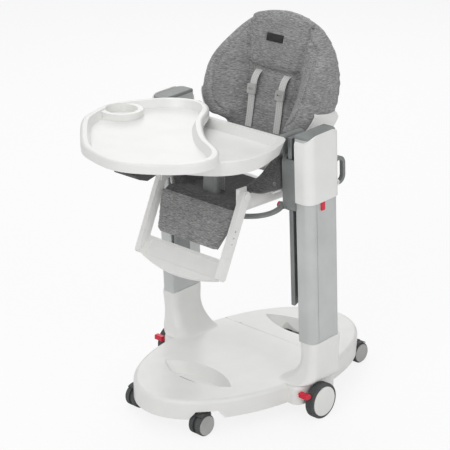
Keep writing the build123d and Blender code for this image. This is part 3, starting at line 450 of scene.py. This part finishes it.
# %% [markdown]
# ## Rigid pieces with a finer outline
# A few rigid pieces need a closer outline than their solids have. Each is a copy of its CAD node, cut
# by a plane or narrowed, that replaces the node and rides on the same body.

# %% Copies and cuts
def copy_of(node_name, new_name, material, shrink=0.0):
    """A merged copy of a CAD node, pulled in a little along its normals if asked."""
    source = nodes[node_name].data
    piece = new_piece(new_name, [v.co for v in source.vertices], [tuple(p.vertices) for p in source.polygons],
                      material)
    tidy(piece)
    for vertex in piece.data.vertices:
        vertex.co -= vertex.normal * shrink
    return piece


def crisp(piece, angle=30):
    """Keeps a rigid piece's edges sharp where its faces turn by more than an angle."""
    piece.data.shade_smooth()
    piece.data.set_sharp_from_angle(angle=radians(angle))


def cut(piece, point, away):
    """Cuts off the side of a plane that away points to, and closes the cut."""
    work = bmesh.new()
    work.from_mesh(piece.data)
    bmesh.ops.bisect_plane(work, geom=work.verts[:] + work.edges[:] + work.faces[:], dist=1e-6,
                           plane_co=point, plane_no=away, clear_outer=True)
    rim = [edge for edge in work.edges if edge.is_boundary]
    if rim:
        bmesh.ops.triangle_fill(work, edges=rim, use_beauty=True)
    bmesh.ops.recalc_face_normals(work, faces=work.faces)
    work.to_mesh(piece.data)
    work.free()


def stand_in(piece, node, body):
    """A rigid piece that takes a CAD node's place on its body."""
    crisp(piece)
    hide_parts(node)
    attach(piece, body)


# %% The legrest's own frame
KNEE_Y, KNEE_Z, LEG_LEAN = -0.086, 0.640, radians(24)


def on_leg(across, along, out):
    """A point of the legrest's frame, in metres: along is measured up from its hinge."""
    return Vector((across, KNEE_Y + along * sin(LEG_LEAN) - out * cos(LEG_LEAN),
                   KNEE_Z + along * cos(LEG_LEAN) + out * sin(LEG_LEAN)))


# %% Carriage shells, lock tabs and calf plate
COLUMN_UP = Vector((0, -sin(radians(3)), cos(radians(3))))
SHELL_FOOT = Vector((0, 0.062, 0.6225))
LOCK_RISE, LOCK_INSET = 0.008, 0.0006
for side, name in ((1, "left"), (-1, "right")):
    shell = copy_of("carriage_shell_" + name, "carriage_cover_" + name, white_abs)
    cut(shell, SHELL_FOOT, -COLUMN_UP)
    stand_in(shell, "carriage_shell_" + name, "carriage")
    lock = copy_of("height_lock_" + name, "lock_tab_" + name, red_abs)
    for vertex in lock.data.vertices:
        vertex.co += COLUMN_UP * LOCK_RISE - Vector((side * LOCK_INSET, 0, 0))
    stand_in(lock, "height_lock_" + name, "height_lock_" + name)

calf_back = copy_of("calf_plate", "calf_back", grey_nylon)
for side in (1, -1):
    high, low = on_leg(side * 0.137, -0.046, 0), on_leg(side * 0.098, -0.154, 0)
    normal = (low - high).cross(on_leg(0, 0, 1) - on_leg(0, 0, 0)).normalized()
    cut(calf_back, high, normal if normal.x * side > 0 else -normal)
cut(calf_back, on_leg(0, -0.154, 0), on_leg(0, -1, 0) - on_leg(0, 0, 0))
stand_in(calf_back, "calf_plate", "legrest")
print("cut pieces stand on their own bodies")

# %% [markdown]
# ## Repeats
# Wheel discs and stitches are both short rods set out along points, so one Geometry Nodes
# tree makes them. Each point carries the direction of its rod in an attribute called run.

# %% A tree of rods on points
def rod_tree():
    tree = bpy.data.node_groups.new("rods_on_points", "GeometryNodeTree")
    sockets = {}
    for name, kind in (("Points", "Geometry"), ("Radius", "Float"), ("Length", "Float"), ("Sides", "Int"),
                       ("Jitter", "Float"), ("Seed", "Int"), ("Material", "Material")):
        sockets[name] = tree.interface.new_socket(name, in_out="INPUT",
                                                  socket_type="NodeSocket" + kind).identifier
    tree.interface.new_socket("Mesh", in_out="OUTPUT", socket_type="NodeSocketGeometry")
    given = add_node(tree, "NodeGroupInput").outputs
    rod = add_node(tree, "GeometryNodeMeshCylinder", {},
                   {"Vertices": given["Sides"], "Radius": given["Radius"],
                                                          "Depth": given["Length"]})
    run = add_node(tree, "GeometryNodeInputNamedAttribute", {"data_type": "FLOAT_VECTOR", "Name": "run"})
    turned = add_node(tree, "FunctionNodeAlignRotationToVector", {"axis": "Z"}, {"Vector": run.outputs[0]})
    least = add_node(tree, "ShaderNodeMath", {"operation": "SUBTRACT", 0: 1.0}, {1: given["Jitter"]})
    most = add_node(tree, "ShaderNodeMath", {"operation": "ADD", 0: 1.0}, {1: given["Jitter"]})
    size = add_node(tree, "FunctionNodeRandomValue", {"data_type": "FLOAT"},
                    {2: least.outputs[0], 3: most.outputs[0], "Seed": given["Seed"]})
    rods = add_node(tree, "GeometryNodeInstanceOnPoints", {}, {"Points": given["Points"],
                    "Instance": rod.outputs["Mesh"], "Rotation": turned.outputs[0], "Scale": size.outputs[1]})
    real = add_node(tree, "GeometryNodeRealizeInstances", {}, {"Geometry": rods.outputs[0]})
    dressed = add_node(tree, "GeometryNodeSetMaterial", {}, {"Geometry": real.outputs[0],
                                                            "Material": given["Material"]})
    add_node(tree, "NodeGroupOutput", {}, {0: dressed.outputs[0]})
    return tree, sockets


ROD_TREE, ROD_SOCKETS = rod_tree()


def rods(name, places, material, radius, length, sides=10, jitter=0.0, seed=11):
    """One mesh of rods. places are pairs of a point and the direction of its rod."""
    piece = new_piece(name, [point for point, _ in places], [])
    run = piece.data.attributes.new("run", "FLOAT_VECTOR", "POINT")
    run.data.foreach_set("vector", [c for _, way in places for c in way])
    row = piece.modifiers.new("rods", "NODES")
    row.node_group = ROD_TREE
    for socket, value in (("Radius", radius), ("Length", length), ("Sides", sides), ("Jitter", jitter),
                          ("Seed", seed), ("Material", material)):
        row[ROD_SOCKETS[socket]] = value
    freeze(piece)
    crisp(piece)
    return piece


# %% Discs of the caster wheels
DISC_RADIUS, DISC_DEPTH, DISC_PROUD = 0.0265, 0.0018, 0.0006
ACROSS = Vector((1, 0, 0))
for spot in ("front_left", "front_right", "rear_left", "rear_right"):
    low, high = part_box("caster_wheels_" + spot)
    middle_y, middle_z = (low[1] + high[1]) / 2, (low[2] + high[2]) / 2
    inset = DISC_DEPTH / 2 - DISC_PROUD
    faces_of_pair = [(Vector((low[0] + inset, middle_y, middle_z)), ACROSS),
                     (Vector((high[0] - inset, middle_y, middle_z)), ACROSS)]
    discs = rods("caster_discs_" + spot, faces_of_pair, caster_nylon, DISC_RADIUS, DISC_DEPTH, sides=48)
    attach(discs, "caster_wheel_" + spot)
print("caster discs done")

# %% [markdown]
# ## The reclining back
# The back pad is one bowl: a centre panel, and a wing on each side that rises towards the seat and
# folds away at the top. A grid that runs from its middle out to the edge gives both sides of it, with
# the height of each point worked out from tables measured up the back. All of its points are given in
# the backrest's own frame: across, up along the back from its hinge, and out of it.

# %% The backrest's own frame
HINGE_Y, HINGE_Z, LEAN = 0.154, 0.632, radians(11)


def on_back(across, along, out):
    """A point of the backrest's frame, in metres of the row frame."""
    return Vector((across, HINGE_Y + along * sin(LEAN) - out * cos(LEAN),
                   HINGE_Z + along * cos(LEAN) + out * sin(LEAN)))


def table(rows, at):
    """Linear interpolation in a table of pairs."""
    if at <= rows[0][0]:
        return rows[0][1]
    for (a, p), (b, q) in zip(rows, rows[1:]):
        if at <= b:
            return p + (q - p) * (at - a) / (b - a)
    return rows[-1][1]


def smoothstep(value):
    value = min(1, max(0, value))
    return value * value * (3 - 2 * value)


BACK_EDGE = [(0, 20), (70, 20), (126, 22), (128, 60), (128, 106), (140, 112), (158, 114), (176, 130),
             (196, 168),
             (205, 232), (200, 285), (176, 340), (128, 389), (66, 414), (0, 421)]
CREASE = [(20, 70), (110, 74), (155, 77), (265, 84), (371, 104), (425, 112)]
PANEL = [(18, 20), (110, 25), (149, 26), (200, 17), (252, 14), (262, 15), (272, 24), (347, 27),
         (395, 20), (425, 8)]
WING = [(100, 40), (118, 80), (170, 84), (186, 80), (210, 75), (237, 69), (274, 53), (304, 36), (336, 15),
        (375, 0), (425, -4)]
MIDDLE = 235
REAR = -9
RIM_OUT = 3
LIP_IN = 6
LIP = [(0, 0), (112, 0), (150, 8), (200, 12), (425, 18)]


def front_of_back(across, along, edge):
    """How far the front of the pad stands out, in millimetres. edge is the way left to its edge."""
    crease = table(CREASE, along)
    panel = table(PANEL, along)
    beyond = abs(across) - crease
    if beyond < 0:
        return panel - 6 * (abs(across) / crease) ** 6
    share = beyond / (beyond + edge + 0.01)
    foot = panel - 8
    wing = foot + (table(WING, along) - foot) * smoothstep(share / 0.66)
    return wing - 9 * max(0, (share - 0.78) / 0.22) ** 2


# %% The back pad
def back_pad_shape():
    half = rounded([(x, y, 0) for x, y in BACK_EDGE], 2)
    loop = [(p.x, p.y) for p in half] + [(-p.x, p.y) for p in reversed(half[1:-1])]
    # the cover wraps over the shell's rim, so its edge stands outside the shell above the seat
    for i, (x, y) in enumerate(loop):
        away = Vector((x, y - MIDDLE)).normalized() * RIM_OUT * smoothstep((y - 112) / 30)
        loop[i] = (x + away.x, y + away.y)
    rings, walls = 34, 6
    points, faces = [], []
    count = len(loop)
    for ring in range(rings + 1):
        share = ring / rings
        for x, y in loop:
            across, along = x * share, MIDDLE + (y - MIDDLE) * share
            edge = (1 - share) * Vector((x, y - MIDDLE)).length
            out = front_of_back(across, along, edge)
            points.append(on_back(across / MM, along / MM, out / MM))
    for wall in range(1, walls + 1):
        for (x, y), top in zip(loop, points[rings * count:(rings + 1) * count]):
            points.append(top.lerp(on_back(x / MM, y / MM, (REAR - table(LIP, y)) / MM), wall / walls))
    for depth in (1, 0):
        for x, y in loop:
            size = Vector((x, y - MIDDLE)).length
            inside = 1 - (RIM_OUT + LIP_IN) / size
            points.append(on_back(x * inside / MM, (MIDDLE + (y - MIDDLE) * inside) / MM,
                                  (REAR - depth * table(LIP, y)) / MM))
    for ring in range(rings - 3, -1, -1):
        share = ring / rings
        for x, y in loop:
            points.append(on_back(x * share / MM, (MIDDLE + (y - MIDDLE) * share) / MM, REAR / MM))
    layers = len(points) // count
    for layer in range(layers - 1):
        for i in range(count):
            j = (i + 1) % count
            low, high = layer * count, (layer + 1) * count
            faces.append((low + i, low + j, high + j, high + i))
    return points, faces


back_pad = new_piece("back_pad", *back_pad_shape(), cover_cloth)
tidy(back_pad)
puff(back_pad, voxel=0.0055, pressure=3.0, cap=0.004, smooth=4)

# %% [markdown]
# The cover wraps over the shell's rim, so the shell stands in behind the pad. Its middle, which carries
# the recline lever, keeps its shape: only its flanks and its top edge are drawn in.

# %% The back shell
SHELL_CORE, FLANK_SHARE, FLANK_DEPTH, RIM_TOP, RIM_SHARE = 0.090, 0.74, 0.4, 0.360, 0.74
ALONG = on_back(0, 1, 0) - on_back(0, 0, 0)
OUT = on_back(0, 0, 1) - on_back(0, 0, 0)
SHELL_NECK, UNDER_COVER = 0.175, 0.016
back_cover = copy_of("back_shell", "back_bowl", white_abs)
for vertex in back_cover.data.vertices:
    from_hinge = vertex.co - on_back(0, 0, 0)
    across, along, out = from_hinge.x, from_hinge.dot(ALONG), from_hinge.dot(OUT)
    above = smoothstep((along - SHELL_NECK) / 0.03)
    beyond = max(0, abs(across) - SHELL_CORE)
    across -= (1 - FLANK_SHARE) * beyond * above * (1 if across > 0 else -1)
    out += FLANK_DEPTH * above * smoothstep(beyond / 0.08) * max(0, REAR / MM - out)
    if beyond > 0 and above > 0:
        cover = table(WING, along * MM) / MM - UNDER_COVER
        out -= above * max(0, out - cover)
    along -= (1 - RIM_SHARE) * max(0, along - RIM_TOP)
    vertex.co = on_back(across, along, out)
stand_in(back_cover, "back_shell", "backrest")
print("back shell drawn in behind the pad")

# %% [markdown]
# The seams are drawn as lines in the backrest's frame, dropped onto the pad along its own normal and
# pressed in: a deep crease on each side of the centre panel, the lower edge of the head panel, the
# fold of the lumbar panel, and the long oval of the padded inset on each wing.

# %% Seams of the back pad
TOWARDS_BACK = (on_back(0, 0, 0) - on_back(0, 0, 1)).normalized()


def seam_on_back(points, step=0.003):
    """A line given in the backrest's millimetres, dropped onto the pad."""
    line = dense([on_back(x / MM, y / MM, 0.15) for x, y in points], step)
    return drop_on(back_pad, line, TOWARDS_BACK)


def oval_of_wing(side):
    """The seam round a wing's padded inset, from the top of the crease to its foot."""
    path = [(100, 372), (128, 352), (146, 322), (160, 284), (166, 240), (164, 200), (154, 166), (134, 142),
            (108, 130)]
    return [(side * p.x, p.y) for p in rounded([(x, y, 0) for x, y in path], 2)]


creases = [[(side * table(CREASE, u), u) for u in range(122, 412, 8)] for side in (-1, 1)]
head_edge = [(-84, 262), (-40, 258), (0, 257), (40, 258), (84, 262)]
lumbar_edge = [(-77, 150), (0, 147), (77, 150)]
seam_lines = {
    "crease": ([seam_on_back(c) for c in creases], 0.006, 0.0058),
    "head": ([seam_on_back(head_edge)], 0.004, 0.004),
    "lumbar": ([seam_on_back(lumbar_edge)], 0.003, 0.004),
    "oval": ([seam_on_back(oval_of_wing(s)) for s in (-1, 1)], 0.004, 0.004),
}
for lines, depth, width in seam_lines.values():
    for line in lines:
        press_seam(back_pad, [hit for hit, _ in line], depth, width)

# %% Stitches of the back pad
STITCH_STEP, STITCH_LONG, STITCH_RADIUS = 0.0052, 0.0034, 0.00045
beside = {"head": [(x, y + 6) for x, y in head_edge], "lumbar": [(x, y - 6) for x, y in lumbar_edge]}
for side in (-1, 1):
    beside["oval", side] = [(x - side * 5, y) for x, y in oval_of_wing(side)]
    beside["crease", side] = [(side * (table(CREASE, u) + 9), u) for u in range(130, 400, 8)]
stitches = []
for line in beside.values():
    found = seam_on_back(line, STITCH_STEP)
    for (here, _), (there, _) in zip(found, found[1:]):
        stitches.append((here - TOWARDS_BACK * STITCH_RADIUS * 0.5, (there - here).normalized()))
back_stitches = rods("back_stitches", stitches, stitch_thread, STITCH_RADIUS, STITCH_LONG,
                     sides=8, jitter=0.06)
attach(back_stitches, "backrest")
print("stitches:", len(stitches))

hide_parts("back_cushion")
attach(back_pad, "backrest")
print("back pad seams:", list(seam_lines))

# %% [markdown]
# ## Seat and legrest covers
# The seat cushion fills the pan and climbs over its sides as two bolsters. Its CAD solid already has
# those proportions, so a copy of it, merged and slightly shrunk, is what gets puffed. The legrest's
# pad is a flat trapezoid. Between them a short quilted flap crosses the legrest's
# hinge: a fixed strip that runs from the seat down to the legrest.

# %% Seat pad and calf cover
seat_pad = copy_of("seat_cushion", "seat_pad", seat_cloth, shrink=0.001)
puff(seat_pad, voxel=0.006, pressure=3.0, cap=0.003, smooth=5)
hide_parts("seat_cushion")
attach(seat_pad, "seat")

calf_cover = copy_of("calf_pad", "calf_cover", cover_cloth, shrink=0.0015)
puff(calf_cover, voxel=0.004, pressure=4.0, cap=0.0035, smooth=4)
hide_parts("calf_pad")
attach(calf_cover, "legrest")

# %% Seam of the calf cover
TOWARDS_LEG = (on_leg(0, 0, 0) - on_leg(0, 0, 1)).normalized()


def seam_on_leg(points):
    line = dense([on_leg(x / MM, y / MM, 0.1) for x, y in points])
    return drop_on(calf_cover, line, TOWARDS_LEG)


calf_seam = seam_on_leg([(-126, -76), (0, -80), (126, -76)])
press_seam(calf_cover, [hit for hit, _ in calf_seam], 0.0025, 0.004)

# %% The flap over the knee
KNEE_WIDTH = 0.128
KNEE_PATH = [(-0.050, 0.6035), (-0.072, 0.6045), (-0.088, 0.6035), (-0.098, 0.598), (-0.104, 0.588),
             (-0.110, 0.574)]


def knee_flap_shape():
    """A quilted strip about 9 mm thick that follows KNEE_PATH from the seat to the legrest."""
    path = rounded([Vector((0, y, z)) for y, z in KNEE_PATH], 2)
    columns = 40
    points, faces = [], []
    for sign in (1, -1):
        for i, point in enumerate(path):
            a, b = path[max(0, i - 1)], path[min(len(path) - 1, i + 1)]
            away = (b - a).cross(Vector((1, 0, 0))).normalized()
            if away.z + abs(away.y) < 0 or away.z < -0.2:
                away = -away
            for j in range(columns + 1):
                share = j / columns * 2 - 1
                edge = min(1, (1 - abs(share)) * 9) ** 0.5
                half = 0.0045 * edge + 0.0006
                points.append(point + Vector((share * KNEE_WIDTH, 0, 0)) + away * half * sign)
    rows, wide = len(path), columns + 1
    for side in (0, 1):
        base = side * rows * wide
        for i in range(rows - 1):
            for j in range(columns):
                a = base + i * wide + j
                faces.append((a, a + 1, a + wide + 1, a + wide))
    back = rows * wide
    for i in range(rows - 1):
        for j in (0, columns):
            a, b = i * wide + j, (i + 1) * wide + j
            faces.append((a, b, back + b, back + a))
    for i in (0, rows - 1):
        for j in range(columns):
            a, b = i * wide + j, i * wide + j + 1
            faces.append((a, b, back + b, back + a))
    return points, faces


knee_flap = new_piece("knee_flap", *knee_flap_shape(), seat_cloth)
tidy(knee_flap)
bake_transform(knee_flap)
print("covers done")

# %% [markdown]
# ## Harness
# The shoulder straps come out of two slots under the head panel, hang in a shallow curve over the
# lumbar panel and run down to the buckle. Each is one flat strip of webbing, 22 mm wide, drawn along a
# line in its side view, with a UV map along its length for the weave. Small adjusters slide on them.

# %% A strip of webbing
def webbing(name, line, width, thickness=0.0014, turn=None):
    """A flat strip along a line of points, with its own UV map in metres."""
    line = rounded(line, 3)
    points, faces, along = [], [], [0.0]
    for a, b in zip(line, line[1:]):
        along.append(along[-1] + (b - a).length)
    for i, point in enumerate(line):
        a, b = line[max(0, i - 1)], line[min(len(line) - 1, i + 1)]
        forward = (b - a).normalized()
        side = (turn or Vector((1, 0, 0))).copy()
        side = (side - forward * side.dot(forward)).normalized()
        out = side.cross(forward).normalized()
        for s, t in ((-1, -1), (1, -1), (1, 1), (-1, 1)):
            points.append(point + side * width / 2 * s + out * thickness / 2 * t)
    for i in range(len(line) - 1):
        for k in range(4):
            m = (k + 1) % 4
            faces.append((4 * i + k, 4 * i + m, 4 * i + 4 + m, 4 * i + 4 + k))
    faces += [(3, 2, 1, 0), tuple(len(points) - 4 + k for k in range(4))]
    piece = new_piece(name, points, faces, pale_webbing)
    uv = piece.data.uv_layers.new(name="along")
    for face in piece.data.polygons:
        for corner in face.loop_indices:
            vertex = piece.data.loops[corner].vertex_index
            uv.data[corner].uv = (along[vertex // 4], (width if vertex % 4 in (1, 2) else 0.0))
    work = bmesh.new()
    work.from_mesh(piece.data)
    bmesh.ops.recalc_face_normals(work, faces=work.faces)
    work.to_mesh(piece.data)
    work.free()
    return piece


STRAP_X = 0.051
strap_side = [(256, 13), (250, 22), (236, 31), (216, 35), (190, 36), (160, 34), (130, 33), (98, 33)]
for side, node in ((1, "harness_strap_left"), (-1, "harness_strap_right")):
    strap = webbing("shoulder_strap_" + node[14:],
                    [on_back(side * STRAP_X, u / MM, w / MM) for u, w in strap_side],
                    0.022)
    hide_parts(node)
    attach(strap, "backrest")
crotch = webbing("crotch_webbing", [(0, -0.016, 0.605), (0, -0.0165, 0.628), (0, -0.016, 0.652)], 0.024)
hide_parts("crotch_strap")
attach(crotch, "seat")
print("harness straps done")

# %% [markdown]
# A cover like this carries one plain woven tag on its head panel. It is a small laid patch of dark
# tape with a turned-in border.

# %% Tag on the head panel
TAG_WIDE, TAG_HIGH = 0.058, 0.021


def tag_shape():
    """A patch that follows the pad: a grid of points dropped onto it and lifted by its thickness."""
    wide, high = 15, 6
    starts = [on_back((i / wide - 0.5) * TAG_WIDE, 0.348 + (j / high - 0.5) * TAG_HIGH, 0.15)
              for j in range(high + 1) for i in range(wide + 1)]
    found = [hit - TOWARDS_BACK * 0.0006 for hit, _ in drop_on(back_pad, starts, TOWARDS_BACK)]
    faces = [(j * (wide + 1) + i, j * (wide + 1) + i + 1, (j + 1) * (wide + 1) + i + 1,
              (j + 1) * (wide + 1) + i)
             for j in range(high) for i in range(wide)]
    return found, faces


tag_tape = hard_finish("dark_woven_tape", "#353535", "#2A2A2A", patch=10, grain=0.8, depth=0.08,
                       rough=(0.8, 0.9))
tag = new_piece("head_tag", *tag_shape(), tag_tape)
thick = tag.modifiers.new("thickness", "SOLIDIFY")
thick.thickness = 0.0012
thick.offset = 1
freeze(tag)
tidy(tag)
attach(tag, "backrest")
print("tag done")

# %% [markdown]
# The last cell prints how large the dressed model is.

# %% Size of the dressed model
low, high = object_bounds()
print("visual box:", [round(v, 3) for v in low], [round(v, 3) for v in high])
